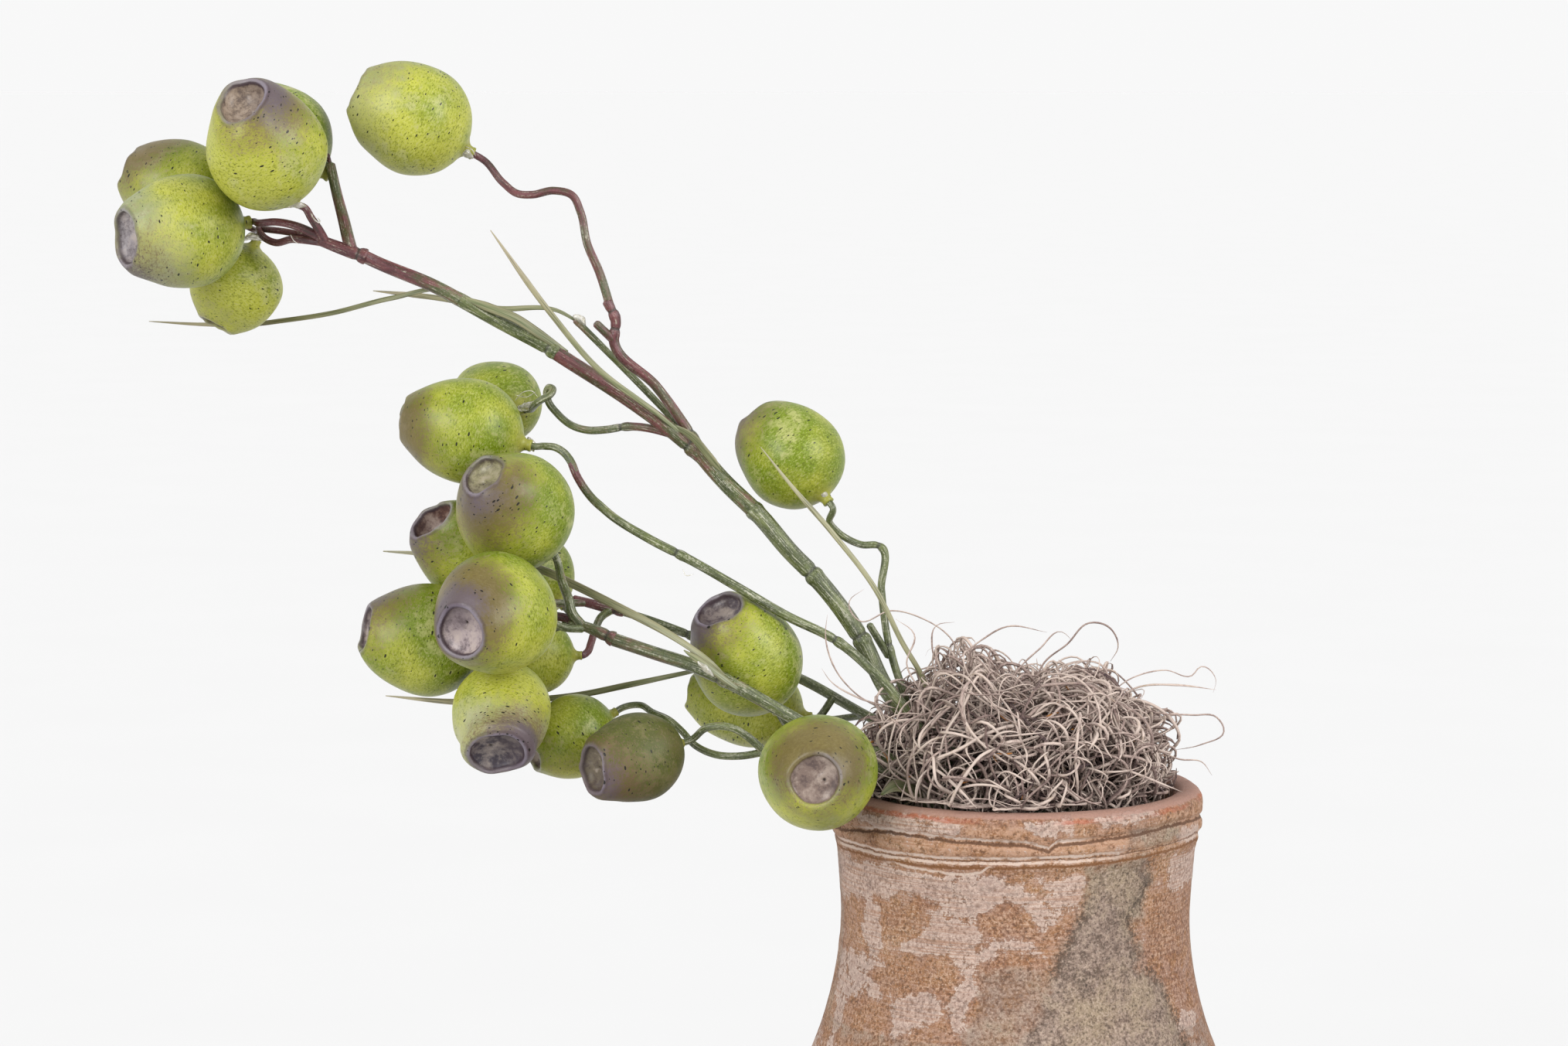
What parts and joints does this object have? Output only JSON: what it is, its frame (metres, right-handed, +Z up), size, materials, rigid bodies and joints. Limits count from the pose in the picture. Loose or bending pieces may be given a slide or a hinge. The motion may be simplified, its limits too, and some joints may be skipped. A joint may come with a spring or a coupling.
{
  "type": "eucalyptus arrangement in vase",
  "caption": "Artificial eucalyptus seed-pod sprays with needle leaves, leaning out of a nest of dried moss in a tall weathered terracotta vase.",
  "frame": {"origin": "centre of the jar's flat base, on the surface it stands on", "axes": "+Z up along the jar's axis; -X towards the side the sprays lean out to; -Y towards the viewer of the picture"},
  "size_m": [0.3288, 0.165, 0.4457],
  "materials": {
    "terracotta": "unglazed fired clay with a worn lime wash and weather stains, matte",
    "floral_foam": "dry open-cell foam, matte",
    "dried_moss": "dried curly plant fibre, matte",
    "moulded_stem": "moulded plastic over wire, olive green with burgundy patches, glossy",
    "green_pod": "waxed and lacquered foam and plastic, yellow-green, glossy with a pale bloom",
    "olive_pod": "painted plastic, dark olive, matte"
  },
  "bodies": {
    "root": {"jar": "terracotta", "foam_plug": "floral_foam", "moss_nest": "dried_moss", "spray_tall": "moulded_stem", "spray_middle": "moulded_stem", "spray_short": "moulded_stem", "spray_low_front": "moulded_stem", "spray_low_back": "moulded_stem", "spray_rim": "moulded_stem", "pod_01": "green_pod", "pod_02": "green_pod", "pod_03": "green_pod", "pod_04": "green_pod", "pod_05": "green_pod", "pod_06": "green_pod", "pod_07": "green_pod", "pod_08": "green_pod", "pod_09": "green_pod", "pod_10": "green_pod", "pod_11": "green_pod", "pod_12": "green_pod", "pod_13": "green_pod", "pod_14": "green_pod", "pod_15": "green_pod", "pod_16": "green_pod", "pod_17": "olive_pod", "pod_18": "green_pod", "pod_19": "green_pod", "pod_20": "green_pod", "pod_21": "green_pod"}
  },
  "joints": []
}
